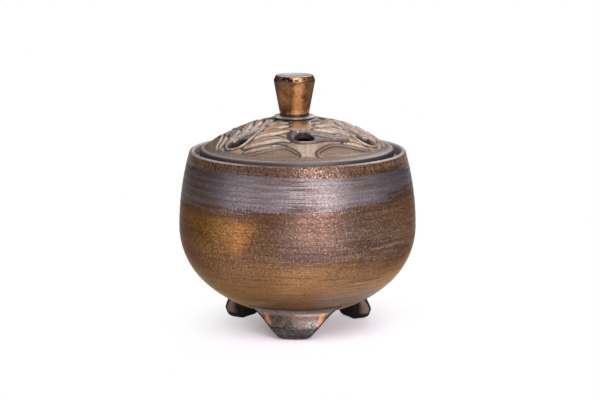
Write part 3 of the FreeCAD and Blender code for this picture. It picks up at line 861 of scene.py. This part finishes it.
HOLLOWS = [
    ([(60, 30.8, 4.8), (61, 27.2, 3.9), (63, 22.8, 2.2), (66, 18.6, 0.3)], 0.8, 0.0),
    ([(-3, 23.6, 4.3), (6, 23.5, 4.2), (17, 24.4, 2.7), (28, 26.4, 1.5), (38, 29.0, 0.3)], 0.0, 0.8),
]
PANELS = [
    [(-9, 35.6, 1.6), (-17, 34.6, 3.0), (-27, 35.6, 2.6), (-38, 37.0, 1.4), (-46, 38.0, 0.3)],
    [(11, 35.4, 1.9), (19, 34.4, 3.4), (29, 35.0, 3.2), (40, 36.6, 1.9), (49, 37.6, 0.3)],
]
BLADES = [
    [(59.5, 19.6, 0.4), (55, 15.4, 1.9), (45, 12.6, 1.9), (30, 11.6, 0.3)],
    [(-56.5, 19.6, 0.4), (-52, 15.4, 1.9), (-42, 12.8, 1.9), (-28, 11.8, 0.3)],
    [(55.5, 25.4, 0.5), (49.5, 20.6, 2.2), (41, 17.4, 2.2), (31, 15.6, 1.3), (22, 14.8, 0.3)],
    [(-52.5, 25.4, 0.5), (-47, 20.4, 2.2), (-38, 17.4, 2.4), (-28, 16.0, 1.4), (-20, 15.4, 0.3)],
    [(53, 29.6, 0.5), (47.5, 25.0, 2.2), (38.5, 21.8, 2.4), (28, 19.8, 1.6), (15, 18.4, 0.3)],
    [(-50.5, 29.6, 0.5), (-45, 25.2, 2.2), (-36, 22.2, 2.4), (-26, 20.6, 1.7), (-15, 19.4, 0.3)],
    [(50.5, 33.4, 0.4), (46, 30.0, 1.7), (40.5, 26.9, 1.5), (33, 24.6, 0.3)],
    [(-48.5, 33.4, 0.5), (-42, 29.9, 2.1), (-32, 27.2, 2.2), (-22, 26.2, 1.5), (-14, 27.4, 0.3)],
    [(49, 35.4, 0.4), (44, 33.0, 1.0), (38, 31.4, 0.9), (32, 30.6, 0.3)],
    [(-45, 35.6, 0.4), (-38, 33.0, 1.1), (-28, 31.2, 1.1), (-17, 30.6, 0.3)],
]
STROKE_STEPS = 14
GROOVE_DEPTH = 0.6
GROOVE_WIDTH = 1.3
BLADE_CROWN = 0.55
BLADE_SHOULDER = 1.2
VEIN_HALF_WIDTH = 0.35
RIM_WIDTH = 0.6
RIM_CROWN = 0.35
HOLLOW_DEPTH = 0.9
PANEL_DEPTH = 0.4
CUT_EDGE = 0.15
HAND_TREMOR = 0.3
TONE_STEP = 0.37
# Gold on the knob's side of each inner hole and a pale gold stem on its other side: degrees to either
# side and distances from the axis, each where the change starts and where it ends
GOLD_TURN = (16, 28)
GOLD_REACH = (17, 20)
STEM_TURN = (5, 9)
STEM_REACH = (28, 30)
FAR = 1e3


def plan_point(degrees, reach):
    """Point on the dome's plan: distances from the axis are measured along the dome."""
    along = DOME_RADIUS * math.asin(reach / DOME_RADIUS)
    turn = math.radians(degrees)
    return np.array((along * math.sin(turn), -along * math.cos(turn)))


def drawn(stroke):
    """Points with half widths along a smooth curve through a stroke's points."""
    knots = np.array([(*plan_point(a, r), w) for a, r, w in stroke])
    ends = np.vstack([2 * knots[0] - knots[1], knots, 2 * knots[-1] - knots[-2]])
    points = []
    for i in range(1, len(ends) - 2):
        before, start, end, after = ends[i - 1:i + 3]
        for t in np.linspace(0, 1, STROKE_STEPS, endpoint=False):
            bend = (2 * before - 5 * start + 4 * end - after) * t ** 2
            twist = (3 * start - before - 3 * end + after) * t ** 3
            points.append(start + 0.5 * ((end - before) * t + bend + twist))
    points.append(knots[-1])
    return np.array(points)


def away_from(plan, stroke):
    """Distance of each plan point from a stroke's side, negative inside it, and from its middle.
    The stroke is also tried one sector back, for the ones that cross a sector's border."""
    best = np.full(len(plan), FAR)
    middle = np.full(len(plan), FAR)
    for shift in (0, -SECTOR_TURN):
        for x, y, half in drawn([(a + shift, r, w) for a, r, w in stroke]):
            reach = np.hypot(plan[:, 0] - x, plan[:, 1] - y)
            nearer = reach - half < best
            veined = reach if half > 3 * VEIN_HALF_WIDTH else FAR
            best = np.where(nearer, reach - half, best)
            middle = np.where(nearer, veined, middle)
    return best, middle


class Carving:
    """Height of the carved skin over the dome and where its glaze gathers, at every plan point."""

    def __init__(self, count):
        self.layers = {name: np.zeros(count) for name in ("height", *GLAZE_LAYERS)}

    def lay(self, mask, **values):
        """Lays values over what is there; layers that aren't named go to nought."""
        for name, layer in self.layers.items():
            layer += (values.get(name, 0.0) - layer) * mask

    def groove(self, away):
        """A dark groove round a stroke."""
        ring = 1 - smooth_step(away, 0.6 * GROOVE_WIDTH, 1.2 * GROOVE_WIDTH)
        self.lay(ring, height=-GROOVE_DEPTH, pooled=1.0)

    def blade(self, away, middle, tone):
        """A raised leaf blade with a cut vein and pale sides, glaze breaking that is also a painted
        highlight.
        """
        self.groove(away)
        body = 1 - smooth_step(away, -CUT_EDGE, CUT_EDGE)
        crown = BLADE_CROWN * smooth_step(-away, 0, BLADE_SHOULDER)
        vein = 1 - smooth_step(middle, 0.4 * VEIN_HALF_WIDTH, 1.2 * VEIN_HALF_WIDTH)
        pale = 1 - smooth_step(-away, 0.2, 0.7)
        self.lay(body, height=crown - 0.5 * GROOVE_DEPTH * vein, pooled=0.8 * vein,
                 broken=0.6 * pale, tone=tone)

    def rim(self, away, pale=0.45, dark=0.0):
        """A raised rim round a stroke, with its groove outside."""
        self.groove(away - RIM_WIDTH)
        body = 1 - smooth_step(away - RIM_WIDTH, -CUT_EDGE, CUT_EDGE)
        crown = RIM_CROWN * smooth_step(RIM_WIDTH - away, 0, 0.5)
        self.lay(body, height=crown, broken=pale, pooled=dark, tone=0.4)

    def sink_hollow(self, away, pale, dark):
        """The smooth scoop that a smoke hole opens in."""
        self.rim(away, pale, dark)
        body = 1 - smooth_step(away, -0.2, 0.1)
        depth = HOLLOW_DEPTH * smooth_step(-away, -0.1, 1.0)
        pool = smooth_step(away, -0.8, -0.1)
        self.lay(body, height=-depth, pooled=0.55 * pool, hollow=1.0)

    def sink_panel(self, away):
        """A shallow plain panel in the margin, golden inside its dark edge."""
        self.rim(away)
        body = 1 - smooth_step(away, -0.2, 0.1)
        depth = PANEL_DEPTH * smooth_step(-away, -0.1, 0.8)
        pool = smooth_step(away, -1.0, -0.6)
        gold = smooth_step(away, -2.2, -1.2)
        self.lay(body, height=-depth, pooled=0.9 * pool, golden=0.8 * gold, panel=1.0)


def carved_skin(plan):
    """The carving of every sector at plan points, which are first shaken a little by hand."""
    x, y = plan.T
    shaken_x = x + HAND_TREMOR * (np.sin(y / 3.1 + 1.3) + np.sin(x / 4.7 + y / 6.1))
    shaken_y = y + HAND_TREMOR * (np.sin(x / 3.7 + 0.4) + np.sin(y / 5.3 - x / 7.9))
    turn = np.degrees(np.arctan2(shaken_x, -shaken_y)) - HOLE_TURN
    folded = (turn + SECTOR_TURN / 2) % SECTOR_TURN - SECTOR_TURN / 2
    reach = np.hypot(shaken_x, shaken_y)
    plan = np.column_stack([reach * np.sin(np.radians(folded)), -reach * np.cos(np.radians(folded))])
    skin = Carving(len(plan))
    by_knob = 1 - smooth_step(np.abs(folded), *GOLD_TURN)
    stem = (1 - smooth_step(np.abs(folded), *STEM_TURN)) * smooth_step(reach, *STEM_REACH)
    skin.layers["golden"] += by_knob * (1 - smooth_step(reach, *GOLD_REACH)) + 0.6 * stem
    skin.layers["broken"] += 0.75 * stem
    for index, stroke in enumerate(BLADES):
        skin.blade(*away_from(plan, stroke), tone=TONE_STEP * index % 1)
    for stroke in PANELS:
        skin.sink_panel(away_from(plan, stroke)[0])
    for stroke, pale, dark in HOLLOWS:
        skin.sink_hollow(away_from(plan, stroke)[0], pale, dark)
    return skin.layers


def hole_places():
    """Middle of each smoke hole in the dome's wall and the direction of its bore, in millimetres."""
    places = []
    centre = Vector((LID_X, 0, DOME_CENTRE_HEIGHT))
    for index in range(SECTORS):
        for reach, turn in ((INNER_HOLE_REACH, 0.0), (OUTER_HOLE_REACH, SECTOR_TURN / 2)):
            around = math.radians(HOLE_TURN + index * SECTOR_TURN + turn)
            slope = math.asin(reach / DOME_RADIUS)
            out = math.sin(slope)
            bore = Vector((out * math.sin(around), -out * math.cos(around), math.cos(slope)))
            places.append((centre + bore * (DOME_RADIUS - LID_WALL / 2), bore))
    return places


def lid_section():
    """Top from the axis over dome and brim to the edge, then the seat and the inside back up."""
    dome_centre = (0, DOME_CENTRE_HEIGHT)
    brim_top = BRIM_HEIGHT + BRIM_ARC
    brim_reach = math.sqrt((DOME_RADIUS + BRIM_ARC) ** 2 - (brim_top - dome_centre[1]) ** 2)
    dome_end = level_angle(dome_centre, DOME_RADIUS + BRIM_ARC, brim_top)
    land = level_angle(dome_centre, DOME_RADIUS, LAND_HEIGHT)
    dome = arc(dome_centre, DOME_RADIUS, land, dome_end, 104)
    brim = arc((brim_reach, brim_top), BRIM_ARC, dome_end + 180, 270, 12)
    edge = arc((LID_RADIUS - BRIM_EDGE, BRIM_HEIGHT - BRIM_EDGE), BRIM_EDGE, 90, 0, 5)
    side_foot = (LID_RADIUS, LEDGE_HEIGHT + SEAT_CHAMFER)
    seat_outer = (LID_RADIUS - SEAT_CHAMFER, LEDGE_HEIGHT)
    seat_inner = (SEAT_INNER_RADIUS, LEDGE_HEIGHT)
    inner_dome = DOME_RADIUS - LID_WALL
    inner_end = math.degrees(math.acos((SEAT_INNER_RADIUS - SEAT_CHAMFER) / inner_dome))
    inside = arc(dome_centre, inner_dome, inner_end, 90, 14)
    return joined([(0, LAND_HEIGHT)], (dome[0], 2), dome, brim, (edge[0], 1), edge, (side_foot, 3),
                  (seat_outer, 1), (seat_inner, 2), (inside[0], 1), inside)


def carve(bm):
    """Sinks the carving into the dome and keeps, at each point, what the glaze follows."""
    places = np.array([vert.co for vert in bm.verts]) / MM
    out = places - np.array((LID_X, 0, DOME_CENTRE_HEIGHT))
    reach = np.hypot(out[:, 0], out[:, 1])
    from_centre = np.linalg.norm(out, axis=1)
    on_top = from_centre > DOME_RADIUS - SKIN_DEPTH
    stretch = DOME_RADIUS * np.arcsin(np.minimum(reach / from_centre, 1)) / np.maximum(reach, 0.01)
    carved = on_top & (reach > COLLAR_RADIUS) & (reach < CARVING_END)
    layers = carved_skin((out[:, :2] * stretch[:, None])[carved])
    fade = 1 - smooth_step(reach[carved], *CARVING_FADE)
    shift = np.zeros(len(places))
    shift[carved] = layers.pop("height") * fade
    shift += BEAD_HEIGHT * (1 - smooth_step(np.abs(reach - BEAD_REACH), 0, BEAD_HALF)) * on_top
    for middle, bore in hole_places():
        away = places - np.array(middle)
        along = away @ np.array(bore)
        gap = np.sqrt(np.maximum((away ** 2).sum(axis=1) - along ** 2, 0)) - HOLE_RADIUS
        turn = np.clip(1 - gap / HOLE_ROUND, 0, 1) * on_top
        shift -= HOLE_ROUND * (1 - np.sqrt(1 - turn ** 2))
    moved = (places + out / from_centre[:, None] * shift[:, None]) * MM
    for vert, place in zip(bm.verts, moved):
        vert.co = place
    for name, value in layers.items():
        layer = bm.verts.layers.float.new(name)
        spread = np.zeros(len(places))
        spread[carved] = value * fade
        for vert, amount in zip(bm.verts, spread):
            vert[layer] = amount


def pierce(bm):
    """Opens the smoke holes: faces inside each bore go, the rims are drawn round and joined."""
    faces = bm.faces[:]
    centres = np.array([face.calc_center_median() for face in faces])
    inside = np.zeros(len(faces), dtype=bool)
    for middle, bore in hole_places():
        away = centres - np.array(middle) * MM
        along = away @ np.array(bore)
        near = (away ** 2).sum(axis=1) - along ** 2 < (HOLE_RADIUS * MM) ** 2
        inside |= near & (np.abs(along) < 2 * LID_WALL * MM)
    bmesh.ops.delete(bm, geom=[face for face, gone in zip(faces, inside) if gone], context="FACES")
    open_edges = [edge for edge in bm.edges if edge.is_boundary]
    pooled = bm.verts.layers.float["pooled"]
    for middle, bore in hole_places():
        middle = middle * MM
        rims = [edge for edge in open_edges if (edge.verts[0].co - middle).length < 2 * HOLE_RADIUS * MM]
        for vert in {vert for edge in rims for vert in edge.verts}:
            away = vert.co - middle
            along = bore * away.dot(bore)
            vert.co = middle + along + (away - along).normalized() * HOLE_RADIUS * MM
            # pooled makes the bore's wall dark: glaze pooled at the hole, and painted shade inside it
            vert[pooled] = 1.0
        bmesh.ops.bridge_loops(bm, edges=rims)


def make_lid():
    """The domed lid, turned, carved and then pierced."""
    bm = turned(lid_section(), CARVING_STEPS, LID_X)
    carve(bm)
    pierce(bm)
    bmesh.ops.recalc_face_normals(bm, faces=bm.faces)
    return finished(bm, "carved_lid", "cover", "lid", [carved_glaze()])


# Knob and collar

def on_arris(vert):
    """Whether a point of the knob is on the corner of its rim or of its top."""
    height = vert.co.z / MM
    outside = math.hypot(vert.co.x / MM - KNOB_X, vert.co.y / MM) > ARRIS_REACH
    return outside and min(abs(height - KNOB_RIM_HEIGHT), abs(height - KNOB_TOP)) < ARRIS_NEAR


def make_knob():
    """The flared knob with a bevelled rim and a dished top, its two arrises rounded."""
    dish_arc = (KNOB_TOP_RADIUS ** 2 + KNOB_DISH ** 2) / (2 * KNOB_DISH)
    dish_turn = math.degrees(math.asin(KNOB_TOP_RADIUS / dish_arc))
    dish = arc((0, KNOB_TOP - KNOB_DISH + dish_arc), dish_arc, -90 + dish_turn, -90, 10)
    root = (KNOB_ROOT_RADIUS, LAND_HEIGHT)
    neck = (KNOB_ROOT_RADIUS, COLLAR_TOP)
    rim = (KNOB_RIM_RADIUS, KNOB_RIM_HEIGHT)
    section = joined([(0, LAND_HEIGHT)], (root, 3), (neck, 2), (rim, 24), (dish[0], 4), dish)
    bm = turned(section, 120, KNOB_X)
    corners = [edge for edge in bm.edges if all(on_arris(vert) for vert in edge.verts)]
    bmesh.ops.bevel(bm, geom=corners, offset=KNOB_ARRIS * MM, offset_type="OFFSET", affect="EDGES",
                    segments=3, profile=0.5, material=-1)
    return finished(bm, "flared_knob", "cover", "knob", [knob_glaze()])


def make_collar():
    """The ring of clay pressed round the knob's root."""
    half = (COLLAR_TOP - LAND_HEIGHT) / 2
    low = (COLLAR_BORE, LAND_HEIGHT)
    high = (COLLAR_BORE, COLLAR_TOP)
    outer = arc((COLLAR_RADIUS - half, LAND_HEIGHT + half), half, -90, 90, 10)
    section = joined([low], (outer[0], 3), outer, (high, 4), (low, 2))
    bm = turned(section, 120, COLLAR_X)
    return finished(bm, "knob_collar_ring", "cover", "knob_collar", [collar_glaze()])


# Ash and incense

def make_ash():
    """The ash bed, level in the middle, raised at the wall, with its top crumbled and in low dunes."""
    wall = lower_wall(BOWL_WALL + ASH_GAP, BOWL_FLOOR, 10)
    wall = [point for point in wall if point[1] < ASH_RIM - 1.0]
    wall_arc = FLANK_ARC - BOWL_WALL - ASH_GAP
    rim_radius = flank_centre[0] + math.sqrt(wall_arc ** 2 - (ASH_RIM - flank_centre[1]) ** 2)
    rim = (rim_radius, ASH_RIM)
    flat = (ASH_FLAT_RADIUS, ASH_LEVEL)
    section = joined([(0, BOWL_FLOOR)], (wall[0], 3), wall, (rim, 2), (flat, 26), ((0, ASH_LEVEL), 36))
    bm = turned(section, 240)
    for vert in bm.verts:
        reach = math.hypot(vert.co.x, vert.co.y) / MM
        if vert.co.z / MM < ASH_LEVEL - 0.01 or reach > rim_radius - ASH_EDGE:
            continue
        crumbs = noise.fractal(vert.co / (CRUMB_SIZE * MM), *CRUMB_OCTAVES)
        dunes = noise.noise(vert.co / (DUNE_SIZE * MM))
        vert.co.z -= (ASH_SINK + CRUMB_HEIGHT * crumbs + DUNE_HEIGHT * (dunes + 1) / 2) * MM
    return finished(bm, "sifted_ash", "burner", "ash_bed", [sifted_ash()])


def make_coil():
    """A round section spun half a turn at a time about two centres, so the coil winds inwards."""
    bm = bmesh.new()
    level = ASH_LEVEL + COIL_DIAMETER / 2
    start = Matrix.Translation((COIL_RADIUS * MM, 0, level * MM)) @ Matrix.Rotation(math.pi / 2, 4, "X")
    bmesh.ops.create_circle(bm, segments=COIL_SIDES, radius=COIL_DIAMETER / 2 * MM * COIL_SLIMMING,
                            matrix=start)
    ring = list(bm.edges)
    ends = [ring]
    for index in range(COIL_HALF_TURNS):
        centre = (-COIL_PITCH / 2 * (index % 2) * MM, 0, 0)
        steps = max(COIL_INNER_STEPS, int(COIL_OUTER_STEPS * (1 - index / COIL_HALF_TURNS)))
        verts = list({vert for edge in ring for vert in edge.verts})
        swept = bmesh.ops.spin(bm, geom=verts + ring, cent=centre, angle=math.pi, steps=steps,
                               use_merge=False, **UPRIGHT)
        ring = [part for part in swept["geom_last"] if isinstance(part, bmesh.types.BMEdge)]
    ends.append(ring)
    for loop in ends:
        bmesh.ops.contextual_create(bm, geom=loop)
    for vert in bm.verts:
        vert.co.z += noise.noise(vert.co / (PASTE_GRAIN * MM)) * PASTE_ROUGHNESS * MM
    bmesh.ops.remove_doubles(bm, verts=bm.verts, dist=WELD)
    bmesh.ops.recalc_face_normals(bm, faces=bm.faces)
    return finished(bm, "coiled_incense", "burner", "incense_coil", [dried_incense()])


make_bowl()
feet = foot_glaze()
make_foot("front_foot", "foot_front", FOOT_TURN, feet)
make_foot("rear_right_foot", "foot_rear_right", FOOT_TURN + 120, feet)
make_foot("rear_left_foot", "foot_rear_left", FOOT_TURN - 120, feet)
make_lid()
make_collar()
make_knob()
make_ash()
make_coil()


# Stage: white ground, soft studio light and the photograph's camera

# The lit paper round the pot: how its place is squeezed and shifted, which puts its middle 6 mm to the
# right and 16 mm to the front, how far out it starts to fade and ends, the glow left in its middle,
# and its colour to the camera and to other rays
PAPER_SHIFT = (-8, 16, 0)
PAPER_SQUEEZE = (1.4, 1, 1)
PAPER_FADE_START = 10
PAPER_FADE_END = 90
PAPER_GLOW = 0.12
PAPER_TO_CAMERA = (1.05, 1.0, 1.12, 1)
PAPER_TO_OTHERS = "#ece9ee"
WHITE = (1, 1, 1, 1)
BLACK = (0, 0, 0, 1)


def seen_by(tree):
    """Two masks: the camera's own rays, and all rays that show a thing, by gloss and glass too."""
    path = add(tree, "ShaderNodeLightPath", {}).node.outputs
    seen = add(tree, MATH, {0: path["Is Camera Ray"], 1: path["Is Glossy Ray"]}, **LARGER)
    return path["Is Camera Ray"], add(tree, MATH, {0: seen, 1: path["Is Transmission Ray"]}, **LARGER)


def white_ground():
    """White paper sweep: near the pot it is lit paper that takes the shadow, and further out it
    shows white to the camera and in reflections."""
    material, tree, place, _ = surface("white_paper_sweep")
    under = add(tree, MAPPING, {"Vector": place, "Location": PAPER_SHIFT, "Scale": PAPER_SQUEEZE})
    reach = add(tree, VECTOR, {0: under}, **LENGTH)
    away = add(tree, RANGE, {0: reach, 1: PAPER_FADE_START, 2: PAPER_FADE_END}, **SOFT)
    glowing = add(tree, RANGE, {0: away, 3: PAPER_GLOW, 4: 1.0})
    camera, seen = seen_by(tree)
    glow = add(tree, "ShaderNodeEmission", {"Color": WHITE, "Strength": glowing})
    lit = add(tree, MIX, {0: away, MIX_A: PAPER_TO_CAMERA, MIX_B: BLACK}, **BLEND)
    exposed = add(tree, MIX, {0: camera, MIX_A: colour(PAPER_TO_OTHERS), MIX_B: lit}, **BLEND)
    paper = add(tree, "ShaderNodeBsdfDiffuse", {"Color": exposed})
    both = add(tree, "ShaderNodeAddShader", {0: paper, 1: glow})
    shader = add(tree, "ShaderNodeMixShader", {0: seen, 1: paper, 2: both})
    add(tree, "ShaderNodeOutputMaterial", {"Surface": shader})
    return material


def grey_wall():
    """Matt grey emulsion on the studio's wall: a dim room for the glaze to reflect."""
    material, tree, place, _ = surface("matt_grey_wall_paint")
    clouds = add(tree, TEX, {"Vector": place, "Scale": 1 / 600, "Detail": 2})
    skin = add(tree, MIX, {0: clouds, MIX_A: colour("#3e3c41"), MIX_B: colour("#444247")}, **BLEND)
    shader = add(tree, "ShaderNodeBsdfDiffuse", {"Color": skin})
    add(tree, "ShaderNodeOutputMaterial", {"Surface": shader})
    return material


def make_wall():
    """The dim room round the table, for the glaze to reflect; the camera looks past it."""
    bm = bmesh.new()
    low = bm.verts.new((0, WALL_DISTANCE, 0))
    high = bm.verts.new((0, WALL_DISTANCE, WALL_HEIGHT))
    edge = bm.edges.new((low, high))
    bmesh.ops.spin(bm, geom=[low, high, edge], cent=(0, 0, 0), angle=2 * math.pi, steps=WALL_STEPS,
                   use_merge=True, **UPRIGHT)
    wall = as_object(bm, "studio_wall", [grey_wall()])
    wall.visible_camera = False


def make_ground():
    """The round sheet of paper that the pot stands on."""
    bm = bmesh.new()
    bmesh.ops.create_circle(bm, cap_ends=True, segments=96, radius=GROUND_RADIUS)
    ground = as_object(bm, "ground", [white_ground()])


def make_world():
    """Plain white light from all round, at full strength only where it is seen."""
    world = bpy.data.worlds.new("studio")
    world.use_nodes = True
    tree = world.node_tree
    tree.nodes.clear()
    _, seen = seen_by(tree)
    strength = add(tree, RANGE, {0: seen, 3: WORLD_LIGHT, 4: 1.0})
    light = add(tree, "ShaderNodeBackground", {"Color": WHITE, "Strength": strength})
    add(tree, "ShaderNodeOutputWorld", {"Surface": light})
    bpy.context.scene.world = world


def aimed(name, data, azimuth, elevation, distance):
    """Places a lamp or the camera round the pot, in degrees and metres, facing the pot's middle."""
    turn = math.radians(azimuth)
    tilt = math.radians(elevation)
    away = Vector((math.sin(turn) * math.cos(tilt), -math.cos(turn) * math.cos(tilt), math.sin(tilt)))
    holder = bpy.data.objects.new(name, data)
    holder.location = Vector((0, 0, TARGET_HEIGHT * MM)) + away * distance
    holder.rotation_euler = away.to_track_quat("Z", "Y").to_euler()
    bpy.context.scene.collection.objects.link(holder)
    return holder


def make_softbox(name, azimuth, elevation, distance, width, height, watts, tint):
    """A flat soft lamp that faces the pot."""
    lamp = bpy.data.lights.new(name, "AREA")
    lamp.color = colour(tint)[:3]
    lamp.shape = "RECTANGLE"
    lamp.size = width
    lamp.size_y = height
    lamp.energy = watts
    aimed(name, lamp, azimuth, elevation, distance)


def make_camera():
    """The photograph's camera, a little above level and straight in front."""
    camera = bpy.data.cameras.new("camera")
    camera.lens = CAMERA_LENS
    camera.sensor_width = SENSOR_WIDTH
    camera.shift_x = TARGET_LEFT_PX / IMAGE_WIDTH
    camera.shift_y = TARGET_BELOW_PX / IMAGE_WIDTH
    bpy.context.scene.camera = aimed("camera", camera, 0, CAMERA_ELEVATION, CAMERA_DISTANCE)


make_ground()
make_wall()
make_world()
for softbox in SOFTBOXES:
    make_softbox(*softbox)
make_camera()
bpy.context.scene.view_settings.view_transform = "Standard"
